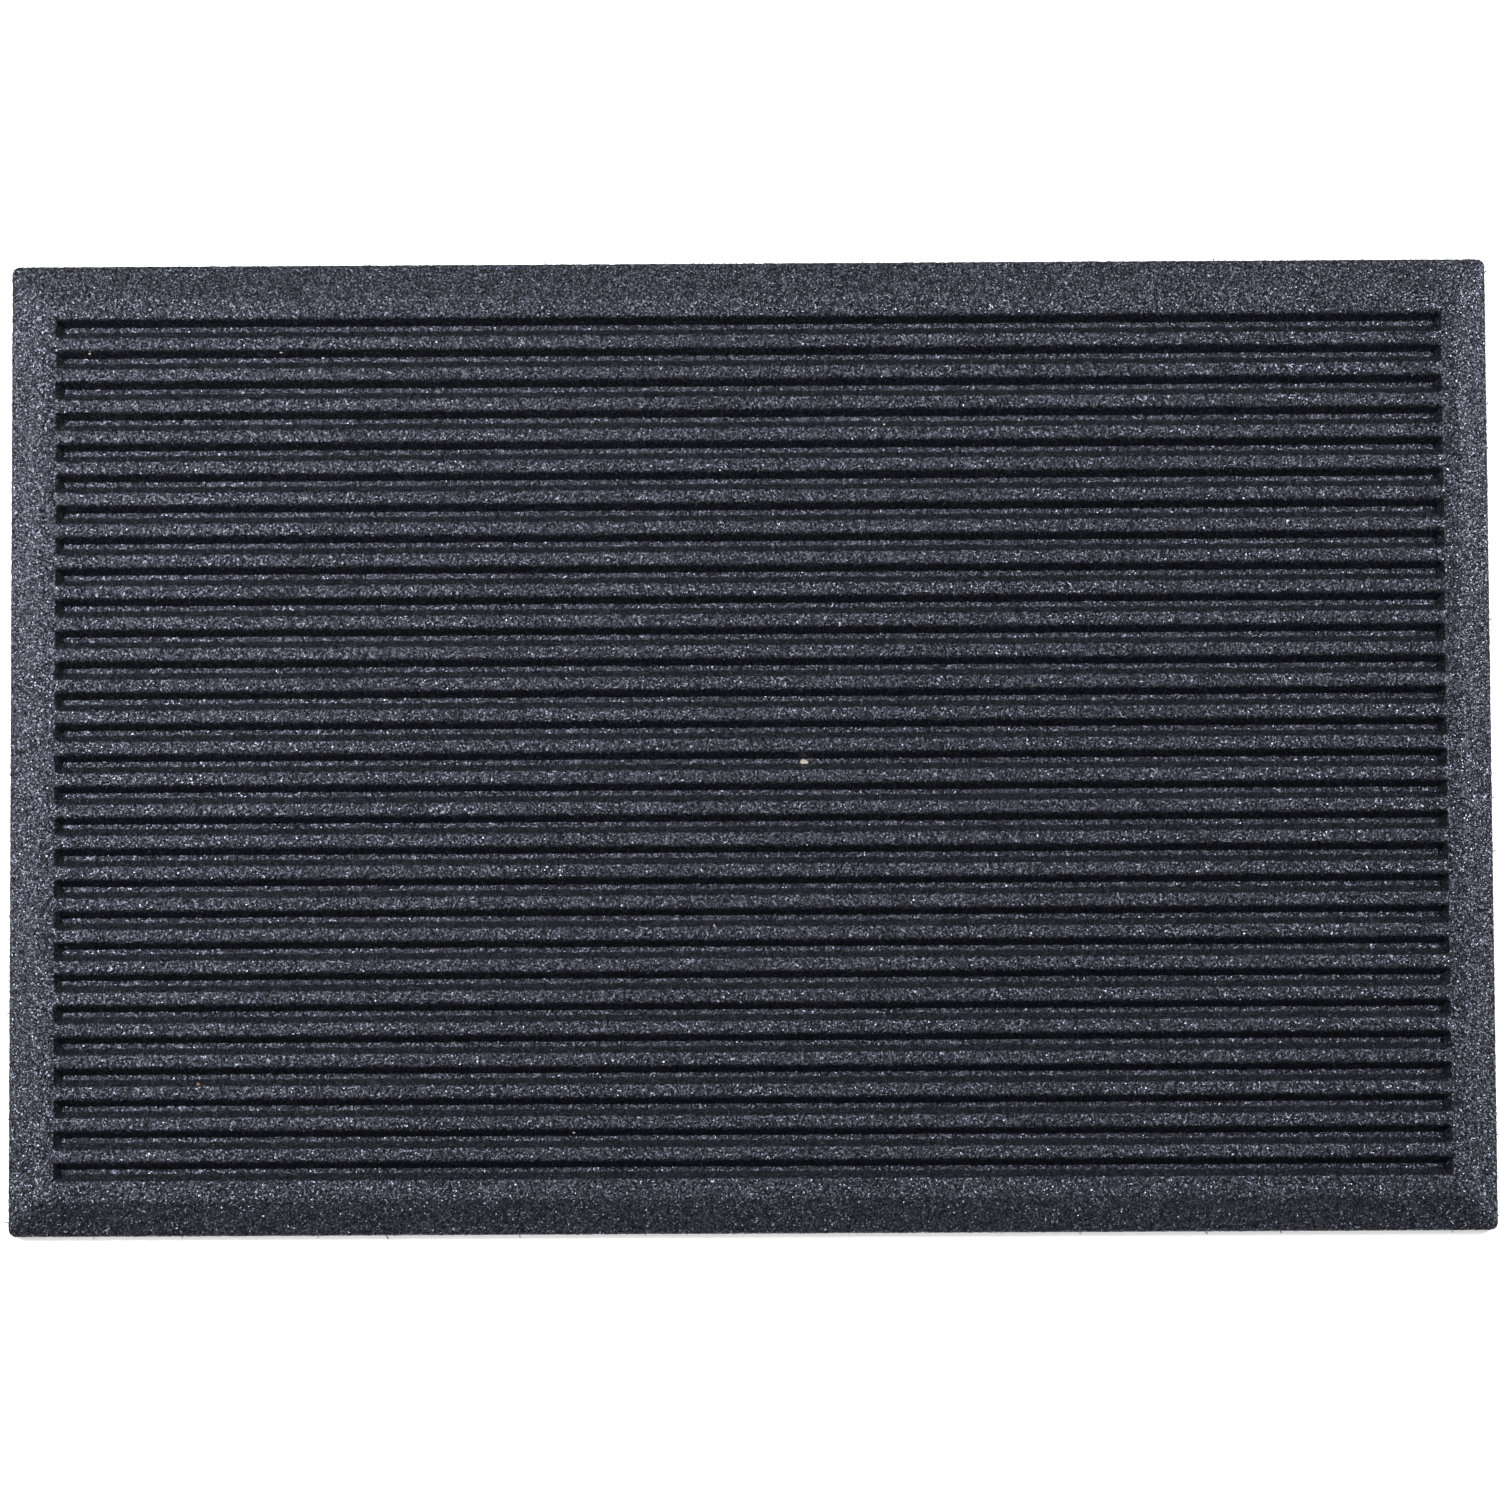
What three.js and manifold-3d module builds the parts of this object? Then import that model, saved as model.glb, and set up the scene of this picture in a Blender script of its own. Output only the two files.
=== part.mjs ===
// Ribbed scraper door mat, moulded from bonded rubber crumb.
// Millimetres, +Z up. The origin is the middle of the underside, on the floor.
// +X runs along the ribs, the long side, and +Y points to the rear edge.
import * as THREE from 'three';
import { mergeVertices } from 'three/addons/utils/BufferGeometryUtils.js';
import Module from 'manifold-3d';

// ---- driving dimensions -------------------------------------------------
const MAT_LENGTH = 600;            // along X
const MAT_DEPTH = 394;             // along Y
const CORNER_RADIUS = 3;           // of the outline, seen from above
const SHEET_THICKNESS = 4;         // the sheet under the grooves
const EDGE_HEIGHT = 5.5;           // the upright outer edge of the borders
const GROOVE_DEPTH = 5;            // from the rib tops down to the sheet
const RIB_COUNT = 27;
const RIB_PITCH = 12.66;           // from one rib's centre line to the next
const GROOVE_MOUTH = 7.3;          // width of a groove at the rib tops
const WALL_RUN = 2.7;              // how far a groove wall leans, measured flat
const SIDE_BORDER = 18.8;          // left and right borders, outer edge to groove mouth
const BEVEL_SHARE = 0.64;          // how much of a border's width slopes to the outer edge
const EDGE_ROUND = 1.2;            // length of wall and of crown taken by a rounded rib edge
const ROUND_STEPS = 4;             // flats in each rounded rib edge
const CORNER_STEPS = 12;           // flats in each corner of the outline
const CLEARANCE = 10;              // how far a cutting solid runs past what it cuts
const WELD_DISTANCE = 1e-4;

// ---- dimensions that follow from them -----------------------------------
const TOP = SHEET_THICKNESS + GROOVE_DEPTH;
const FIELD_DEPTH = RIB_COUNT * RIB_PITCH + GROOVE_MOUTH;    // all the grooves, front to rear
const LONG_BORDER = (MAT_DEPTH - FIELD_DEPTH) / 2;           // front and rear borders
const FOOT_SHARE = 1 + WALL_RUN / LONG_BORDER;               // a border's foot against its width
const RIB_CROWN = RIB_PITCH - GROOVE_MOUTH;
const MOUTH_LENGTH = MAT_LENGTH - 2 * SIDE_BORDER;
const SHEET_LENGTH = MAT_LENGTH - 2 * SIDE_BORDER * FOOT_SHARE;
const SHEET_DEPTH = MAT_DEPTH - 2 * LONG_BORDER * FOOT_SHARE;

// ---- finish: one charcoal rubber throughout ------------------------------
const CRUMB_RUBBER = { color: 0x34363d, roughness: 0.88, metalness: 0 };

const wasm = await Module();
wasm.setup();

// ---- solids -------------------------------------------------------------
function toManifold(geometry) {
  const bare = geometry.clone();
  bare.deleteAttribute('normal');
  bare.deleteAttribute('uv');
  const welded = mergeVertices(bare, WELD_DISTANCE);
  return new wasm.Manifold(new wasm.Mesh({
    numProp: 3,
    vertProperties: new Float32Array(welded.attributes.position.array),
    triVerts: new Uint32Array(welded.index.array),
  }));
}

// What all the given closed geometries have in common.
function common(...geometries) {
  const solid = geometries.map(toManifold).reduce((kept, cutter) => kept.intersect(cutter));
  const mesh = solid.getMesh();
  const geometry = new THREE.BufferGeometry();
  geometry.setAttribute('position', new THREE.BufferAttribute(mesh.vertProperties, 3));
  geometry.setIndex(new THREE.BufferAttribute(mesh.triVerts, 1));
  geometry.computeVertexNormals();
  return geometry;
}

function extruded(shape, depth, curveSegments) {
  return new THREE.ExtrudeGeometry(shape, { depth, curveSegments, bevelEnabled: false });
}

// A shape drawn in (X, Y), standing from z = low up to z = high.
function standing(shape, low, high) {
  return extruded(shape, high - low, CORNER_STEPS).translate(0, 0, low);
}

// A shape drawn in (X, Z), run along Y and centred on y = 0.
function alongY(shape, length) {
  return extruded(shape, length, ROUND_STEPS)
    .rotateX(Math.PI / 2)
    .translate(0, length / 2, 0);
}

// A shape drawn in (Y, Z), run along X and centred on x = 0.
function alongX(shape, length) {
  return alongY(shape, length).rotateZ(Math.PI / 2);
}

function polygon(points) {
  return new THREE.Shape(points.map(([u, v]) => new THREE.Vector2(u, v)));
}

// ---- sub-parts ----------------------------------------------------------

// The mat's outline from above, a rectangle with small round corners.
function outline() {
  const x = MAT_LENGTH / 2;
  const y = MAT_DEPTH / 2;
  const r = CORNER_RADIUS;
  const shape = new THREE.Shape();
  shape.absarc(x - r, r - y, r, -Math.PI / 2, 0);
  shape.absarc(x - r, y - r, r, 0, Math.PI / 2);
  shape.absarc(r - x, y - r, r, Math.PI / 2, Math.PI);
  shape.absarc(r - x, r - y, r, Math.PI, 1.5 * Math.PI);
  shape.closePath();
  return shape;
}

// The sheet inside the borders. It carries the ribs, and its top shows as the groove floors.
function backingSheet() {
  return new THREE.BoxGeometry(SHEET_LENGTH, SHEET_DEPTH, SHEET_THICKNESS)
    .translate(0, 0, SHEET_THICKNESS / 2);
}

// A border's section: upright outer edge, bevel, flat land, then the leaning wall of the
// outermost groove and the face against the sheet.
// edge is the outer edge's coordinate and inward is +1 or -1.
function borderSection(edge, inward, width) {
  const foot = edge + inward * width * FOOT_SHARE;
  return polygon([
    [edge, 0],
    [edge, EDGE_HEIGHT],
    [edge + inward * width * BEVEL_SHARE, TOP],
    [edge + inward * width, TOP],
    [foot, SHEET_THICKNESS],
    [foot, 0],
  ]);
}

// Front (side = -1) or rear (side = +1) border, cut to its mitres and to the outline.
function longBorder(side) {
  const edge = side * MAT_DEPTH / 2;
  const foot = side * SHEET_DEPTH / 2;
  const mitres = polygon([
    [-MAT_LENGTH / 2, edge],
    [MAT_LENGTH / 2, edge],
    [SHEET_LENGTH / 2, foot],
    [-SHEET_LENGTH / 2, foot],
  ]);
  return common(
    alongX(borderSection(edge, -side, LONG_BORDER), MAT_LENGTH),
    standing(mitres, -CLEARANCE, TOP + CLEARANCE),
    standing(outline(), -CLEARANCE, TOP + CLEARANCE),
  );
}

// Left (side = -1) or right (side = +1) border, cut to its mitres and to the outline.
function sideBorder(side) {
  const edge = side * MAT_LENGTH / 2;
  const foot = side * SHEET_LENGTH / 2;
  const mitres = polygon([
    [edge, -MAT_DEPTH / 2],
    [edge, MAT_DEPTH / 2],
    [foot, SHEET_DEPTH / 2],
    [foot, -SHEET_DEPTH / 2],
  ]);
  return common(
    alongY(borderSection(edge, -side, SIDE_BORDER), MAT_DEPTH),
    standing(mitres, -CLEARANCE, TOP + CLEARANCE),
    standing(outline(), -CLEARANCE, TOP + CLEARANCE),
  );
}

// A rib's section: leaning walls, flat crown and a rounded edge between them.
function ribSection() {
  const crown = RIB_CROWN / 2;
  const foot = crown + WALL_RUN;
  const wall = Math.hypot(WALL_RUN, GROOVE_DEPTH);
  const across = EDGE_ROUND * WALL_RUN / wall;
  const down = EDGE_ROUND * GROOVE_DEPTH / wall;
  const shape = new THREE.Shape();
  shape.moveTo(-foot, SHEET_THICKNESS);
  shape.lineTo(foot, SHEET_THICKNESS);
  shape.lineTo(crown + across, TOP - down);
  shape.quadraticCurveTo(crown, TOP, crown - EDGE_ROUND, TOP);
  shape.lineTo(EDGE_ROUND - crown, TOP);
  shape.quadraticCurveTo(-crown, TOP, -crown - across, TOP - down);
  shape.closePath();
  return shape;
}

// A rib's two ends lean over the side borders' walls and meet them face to face.
function ribEnds() {
  return polygon([
    [-SHEET_LENGTH / 2, SHEET_THICKNESS],
    [SHEET_LENGTH / 2, SHEET_THICKNESS],
    [MOUTH_LENGTH / 2, TOP],
    [-MOUTH_LENGTH / 2, TOP],
  ]);
}

function rib() {
  return common(alongX(ribSection(), MAT_LENGTH), alongY(ribEnds(), RIB_PITCH));
}

// ---- assembly -----------------------------------------------------------
function named(name, geometry) {
  const mesh = new THREE.Mesh(geometry, new THREE.MeshStandardMaterial(CRUMB_RUBBER));
  mesh.name = name;
  return mesh;
}

const doorMat = new THREE.Group();
doorMat.add(
  named('backing_sheet', backingSheet()),
  named('border_front', longBorder(-1)),
  named('border_rear', longBorder(1)),
  named('border_left', sideBorder(-1)),
  named('border_right', sideBorder(1)),
);

const ribs = new THREE.Group();
for (let i = 0; i < RIB_COUNT; i += 1) {
  const mesh = named(`rib_${String(i + 1).padStart(2, '0')}`, rib());
  mesh.position.y = (i - (RIB_COUNT - 1) / 2) * RIB_PITCH;
  ribs.add(mesh);
}
doorMat.add(ribs);

export default doorMat;
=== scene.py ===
"""Ribbed scraper door mat in bonded rubber crumb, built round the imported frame.

Laid out as an add-on and run as a script. Everything is in metres, in the frame's own axes:
+X along the ribs, +Y to the rear edge, +Z up, with the floor at z = 0.
"""

import math
import random

import bmesh
import bpy
from bpy.props import FloatProperty, FloatVectorProperty, IntProperty, PointerProperty
from mathutils import Matrix, Vector


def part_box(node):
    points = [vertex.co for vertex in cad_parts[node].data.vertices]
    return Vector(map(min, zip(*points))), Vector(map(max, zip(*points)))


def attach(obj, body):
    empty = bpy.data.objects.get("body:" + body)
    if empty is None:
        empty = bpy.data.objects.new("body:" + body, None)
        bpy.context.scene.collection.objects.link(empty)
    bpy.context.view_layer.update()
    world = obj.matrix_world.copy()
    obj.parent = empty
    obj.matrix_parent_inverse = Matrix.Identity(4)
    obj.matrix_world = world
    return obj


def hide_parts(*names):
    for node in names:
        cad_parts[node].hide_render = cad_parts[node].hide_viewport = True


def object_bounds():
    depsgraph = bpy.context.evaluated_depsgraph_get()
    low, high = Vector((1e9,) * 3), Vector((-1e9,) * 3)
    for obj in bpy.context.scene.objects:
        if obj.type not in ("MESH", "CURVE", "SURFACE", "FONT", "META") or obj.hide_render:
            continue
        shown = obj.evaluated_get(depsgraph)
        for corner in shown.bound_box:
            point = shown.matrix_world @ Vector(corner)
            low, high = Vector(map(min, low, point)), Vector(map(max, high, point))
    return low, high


bl_info = {
    "name": "Crumb Rubber Door Mat",
    "version": (1, 0, 0),
    "blender": (4, 5, 0),
    "location": "View3D > Sidebar > Door Mat",
    "description": "Builds a ribbed door mat of bonded rubber crumb",
    "category": "Object",
}

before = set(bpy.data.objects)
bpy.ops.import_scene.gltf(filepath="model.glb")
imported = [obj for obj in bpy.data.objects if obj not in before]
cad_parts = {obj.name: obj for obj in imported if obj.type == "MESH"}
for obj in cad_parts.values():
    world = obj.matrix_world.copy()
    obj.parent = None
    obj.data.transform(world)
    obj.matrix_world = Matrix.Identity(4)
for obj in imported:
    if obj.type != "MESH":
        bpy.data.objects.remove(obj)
CAD_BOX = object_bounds()

MM = 0.001
BODY = "root"
RIB_COUNT = sum(name.startswith("rib_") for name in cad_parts)
RIBS_PER_PIECE = 3
BAKE_MAP = "OFBake"
RUBBER = "bonded_crumb"
MERGE = 0.001 * MM
WALL_RUN = 2.7 * MM
SHEET_SEED = 50
BORDER_SEED = 30
STRAY_SEED = 7
BURR_SEED = 11


def rib_node(number):
    return f"rib_{number:02d}"


def side_of(node, axis):
    """A CAD node's extent along one axis."""
    low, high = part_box(node)
    return high[axis] - low[axis]


def middle_of(node, axis):
    low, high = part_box(node)
    return (low[axis] + high[axis]) / 2


# ---- sizes and colours that a user would change -----------------------------


def length(name, description, default):
    """A length property, in metres."""
    return FloatProperty(
        name=name, description=description, default=default, subtype="DISTANCE", precision=5
    )


def share(name, description, default, high=1.0):
    """A plain number from 0 to high."""
    return FloatProperty(name=name, description=description, default=default, min=0.0, max=high)


def angle(name, description, degrees):
    return FloatProperty(
        name=name, description=description, default=math.radians(degrees), subtype="ANGLE"
    )


def colour(name, description, default):
    return FloatVectorProperty(
        name=name, description=description, default=default, subtype="COLOR", size=3,
        min=0.0, max=1.0,
    )


class MatSizes(bpy.types.PropertyGroup):
    """The mat's own sizes. Most are read from the frame."""

    length: length("Length", "Long side, along the ribs", CAD_BOX[1][0] - CAD_BOX[0][0])
    depth: length("Depth", "Short side, across the ribs", CAD_BOX[1][1] - CAD_BOX[0][1])
    top: length("Thickness", "Height of the rib tops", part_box("rib_01")[1].z)
    sheet: length("Sheet", "Thickness under the grooves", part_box("rib_01")[0].z)
    mouth: length("Groove length", "Length of a groove at its mouth", 562.4 * MM)
    rib_foot: length("Rib foot", "Width of a rib where it meets the sheet", side_of("rib_01", 1))
    pitch: length(
        "Pitch", "From one rib to the next", middle_of("rib_02", 1) - middle_of("rib_01", 1)
    )
    wall_run: length("Wall run", "How far a groove wall leans, measured flat", WALL_RUN)
    bevel_share: share("Bevel share", "Part of a border's width that slopes", 0.64)
    edge: length("Edge height", "Height of the upright outer edge", 5.5 * MM)
    corner_radius: length("Corner radius", "Round corners of the outline", 3 * MM)
    long_border: length(
        "Long border", "Width of the front and rear borders", side_of("border_front", 1) - WALL_RUN
    )
    side_border: length(
        "Side border", "Width of the left and right borders", side_of("border_left", 0) - WALL_RUN
    )


class GrainSettings(bpy.types.PropertyGroup):
    """How rough the moulded crumb is, and how finely it is meshed."""

    step: length("Mesh step", "Distance between mesh points across a face", 0.66 * MM)
    step_along: length("Mesh step along", "Distance between points along a face", 0.72 * MM)
    floor_step: length("Floor step", "Distance between points along the sheet", 0.96 * MM)
    crumb: length("Crumb", "Size of one rubber crumb", 0.9 * MM)
    relief: length("Relief", "How far the crumbs stand out", 0.12 * MM)
    facet: length("Facet", "Size of one crumb's glossy facet", 0.60 * MM)
    facet_tilt: share("Facet tilt", "How much the facets tilt, as a slope", 0.20, high=2.0)
    odd: share("Odd crumbs", "Share of the crumbs that lie across the surface", 0.16)
    odd_tilt: share("Odd crumb tilt", "How much more those facets tilt", 2.5, high=9.0)
    gloss: share("Facet roughness", "Roughness of the glossiest facets", 0.27)
    waviness: length("Waviness", "Slow unevenness of faces and edges", 0.10 * MM)
    burr_length: length("Burr length", "How far the burrs stand out from the edge", 1.1 * MM)
    burrs: IntProperty(name="Burrs", description="Burrs round the edge", default=46, min=1)
    passes: IntProperty(
        name="Edge rounding", description="Smoothing passes over a section's corners",
        default=2, min=0,
    )


class RubberColours(bpy.types.PropertyGroup):
    """The rubber's colours, in linear light."""

    dark: colour("Dark crumb", "The darkest crumbs", (0.002, 0.002, 0.003))
    mid: colour("Crumb", "Most of the crumbs", (0.003, 0.003, 0.004))
    light: colour("Light crumb", "The palest grey crumbs", (0.020, 0.022, 0.027))
    sheen: colour("Sheen", "Tint of the light that the facets reflect", (0.74, 0.79, 1.0))
    beige: colour("Beige", "Stray beige crumbs", (0.38, 0.35, 0.30))
    brown: colour("Brown", "Stray reddish-brown crumbs", (0.20, 0.09, 0.06))


class StageSettings(bpy.types.PropertyGroup):
    """Floor, lights and camera."""

    floor: colour("Floor", "Pale studio floor", (0.90, 0.90, 0.90))
    floor_glow: share("Floor glow", "Light that the floor itself gives off", 0.65)
    distance: length("Camera distance", "From the mat's middle", 2.0)
    tilt: angle("Camera tilt", "Away from straight down, towards the front", 3.52)
    pan: angle("Camera pan", "Away from straight down, towards the right", 0.21)
    roll: angle("Camera roll", "Turn about its own line of sight", -0.30)
    lens: FloatProperty(name="Lens", description="Focal length in mm", default=118.2)


# ---- wiring nodes -----------------------------------------------------------


class Field:
    """A number that varies over a mesh. Arithmetic on it adds Math nodes to its tree."""

    def __init__(self, wiring, socket):
        self.wiring = wiring
        self.socket = socket

    def __add__(self, other):
        return self.wiring.math("ADD", self, other)

    def __radd__(self, other):
        return self.wiring.math("ADD", other, self)

    def __sub__(self, other):
        return self.wiring.math("SUBTRACT", self, other)

    def __rsub__(self, other):
        return self.wiring.math("SUBTRACT", other, self)

    def __mul__(self, other):
        return self.wiring.math("MULTIPLY", self, other)

    def __truediv__(self, other):
        return self.wiring.math("DIVIDE", self, other)

    def __gt__(self, limit):
        return self.wiring.math("GREATER_THAN", self, limit)

    def __lt__(self, limit):
        return self.wiring.math("LESS_THAN", self, limit)

    def __abs__(self):
        return self.wiring.math("ABSOLUTE", self)

    def at_least(self, limit):
        return self.wiring.math("MAXIMUM", self, limit)

    def within(self, limit):
        """Held between minus the limit and the limit."""
        return self.wiring.math("MINIMUM", self.at_least(0.0 - limit), limit)

    def ramp(self, low, high, first, last):
        """Goes from first to last as this number goes from low to high, and is held outside."""
        inputs = {0: self, 1: low, 2: high, 3: first, 4: last}
        node = self.wiring.node("ShaderNodeMapRange", inputs, clamp=True)
        return Field(self.wiring, node.outputs[0])


class Wiring:
    """Adds nodes to a tree and links them."""

    def __init__(self, tree):
        self.tree = tree

    def node(self, kind, inputs=None, **settings):
        node = self.tree.nodes.new(kind)
        for name, value in settings.items():
            setattr(node, name, value)
        for key, value in (inputs or {}).items():
            self.feed(node.inputs[key], value)
        return node

    def feed(self, socket, value):
        if isinstance(value, Field):
            value = value.socket
        if isinstance(value, bpy.types.NodeSocket):
            self.tree.links.new(value, socket)
        else:
            socket.default_value = value

    def math(self, operation, first, second=0.0):
        node = self.node("ShaderNodeMath", {0: first, 1: second}, operation=operation)
        return Field(self, node.outputs[0])

    def vector(self, x, y, z):
        return self.node("ShaderNodeCombineXYZ", {0: x, 1: y, 2: z}).outputs[0]

    def parts(self, vector):
        """The three numbers in a vector."""
        node = self.node("ShaderNodeSeparateXYZ", {0: vector})
        return [Field(self, socket) for socket in node.outputs]

    def vectors(self, operation, first, second=(0.0, 0.0, 0.0)):
        node = self.node("ShaderNodeVectorMath", {0: first, 1: second}, operation=operation)
        return node.outputs[0]

    def scaled(self, vector, factor):
        node = self.node("ShaderNodeVectorMath", {0: vector, "Scale": factor}, operation="SCALE")
        return node.outputs[0]

    def crumbs(self, place, size):
        """Crumbs of about the given size. Gives how far a place is from the middle of its crumb
        and how high it lies on the crumb's own tilted facet, both with the size as 1, and
        three random numbers for the crumb."""
        spot = self.scaled(place, self.per(size))
        node = self.node("ShaderNodeTexVoronoi", {"Vector": spot, "Scale": 1.0})
        from_middle = self.vectors("SUBTRACT", spot, node.outputs["Position"])
        lean = self.vectors("SUBTRACT", node.outputs["Color"], (0.5, 0.5, 0.5))
        facet = self.node("ShaderNodeVectorMath", {0: from_middle, 1: lean}, operation="DOT_PRODUCT")
        distance = Field(self, node.outputs["Distance"])
        return distance, Field(self, facet.outputs["Value"]), self.parts(node.outputs["Color"])

    def cloud(self, place, size, detail=2.0):
        """Smooth noise from 0 to 1 with patches of about the given size."""
        spot = self.scaled(place, self.per(size))
        inputs = {"Vector": spot, "Scale": 1.0, "Detail": detail}
        return Field(self, self.node("ShaderNodeTexNoise", inputs).outputs[0])

    def per(self, size):
        """One over a size, which may be a field."""
        return self.math("DIVIDE", 1.0, size) if isinstance(size, Field) else 1.0 / size


class GeometryTree(Wiring):
    """A Geometry Nodes tree with named inputs."""

    SOCKETS = {int: "NodeSocketInt", float: "NodeSocketFloat"}

    def __init__(self, name, values):
        super().__init__(bpy.data.node_groups.new(name, "GeometryNodeTree"))
        self.tree.is_modifier = True
        self.tree.interface.new_socket(
            name="Geometry", in_out="OUTPUT", socket_type="NodeSocketGeometry"
        )
        self.identifiers = {}
        for label, value in values.items():
            item = self.tree.interface.new_socket(
                name=label, in_out="INPUT",
                socket_type=self.SOCKETS.get(type(value), "NodeSocketMaterial"),
            )
            self.identifiers[label] = item.identifier
        self.entry = self.tree.nodes.new("NodeGroupInput")

    def input(self, label):
        return Field(self, self.entry.outputs[label])

    def move(self, geometry, place):
        return self.node("GeometryNodeSetPosition", {0: geometry, "Position": place}).outputs[0]

    def shift(self, geometry, offset):
        return self.node("GeometryNodeSetPosition", {0: geometry, "Offset": offset}).outputs[0]

    def place(self):
        return self.node("GeometryNodeInputPosition").outputs[0]

    def kept(self, geometry, **fields):
        """Fixes fields on a geometry, so that they keep their values once its points move."""
        node = self.node("GeometryNodeCaptureAttribute", {0: geometry})
        for name, field in fields.items():
            node.capture_items.new("FLOAT", name)
            self.feed(node.inputs[name], field)
        return node.outputs[0], [Field(self, node.outputs[name]) for name in fields]

    def finish(self, geometry):
        """Every tree ends the same way: one smooth real mesh, in its material."""
        smooth = self.node("GeometryNodeSetShadeSmooth", {0: geometry}).outputs[0]
        real = self.node("GeometryNodeRealizeInstances", {0: smooth}).outputs[0]
        inputs = {0: real, "Material": self.entry.outputs["Material"]}
        dressed = self.node("GeometryNodeSetMaterial", inputs).outputs[0]
        self.node("NodeGroupOutput", {0: dressed})

    def grow(self, name, values):
        """Runs the tree with these values and returns the result as a plain mesh object."""
        piece = bpy.data.objects.new(name, bpy.data.meshes.new(name))
        bpy.context.scene.collection.objects.link(piece)
        modifier = piece.modifiers.new("Form", "NODES")
        modifier.node_group = self.tree
        for label, value in values.items():
            modifier[self.identifiers[label]] = value
        graph = bpy.context.evaluated_depsgraph_get()
        mesh = bpy.data.meshes.new_from_object(piece.evaluated_get(graph), depsgraph=graph)
        mesh.materials.clear()
        mesh.materials.append(values["Material"])
        piece.modifiers.clear()
        piece.data = mesh
        mesh.name = name
        if not mesh.polygons:
            raise RuntimeError(f"{name} came out empty")
        return piece


def own(piece, *nodes):
    """Ties a finished piece to the frame."""
    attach(piece, BODY)
    if nodes:
        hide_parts(*nodes)
    return piece


# ---- the moulded form, shared by the ribs, the borders and the sheet --------


class Face:
    """One flat face of a closed section: how many mesh rows it has, and where it goes."""

    def __init__(self, name, across, up, rows):
        self.name = name
        self.across = across
        self.up = up
        self.rows = rows

    def values(self):
        return {
            f"{self.name} rows": self.rows,
            f"{self.name} across": self.across,
            f"{self.name} up": self.up,
        }


def faced(name, across, up, step):
    """A face whose rows are about one mesh step wide."""
    return Face(name, across, up, max(1, round(math.hypot(across, up) / step)))


def section_values(faces):
    values = {}
    for face in faces:
        values.update(face.values())
    return values


def grain_values(context, seed):
    grain = context.scene.grain_settings
    return {
        "Crumb": grain.crumb,
        "Relief": grain.relief,
        "Waviness": grain.waviness,
        "Smoothing": grain.passes,
        "Seed": float(seed),
    }


CRUMB_DOME = 1.6         # how much of the relief is each crumb's own dome
CRUMB_STEP = 1.3         # and how much is one crumb standing higher than the next
CRUMB_RIM = 0.45         # how far out its dome stands proud, with the crumb's size as 1
WAVE_SIZE = 14 * MM      # distance between the slow waves of a face or an edge
JITTER = 0.4             # how far mesh points stray, with a mesh step as 1
STRIP_SHARE = 0.94       # how much of a strip's height in the bake map its mesh takes


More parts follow.
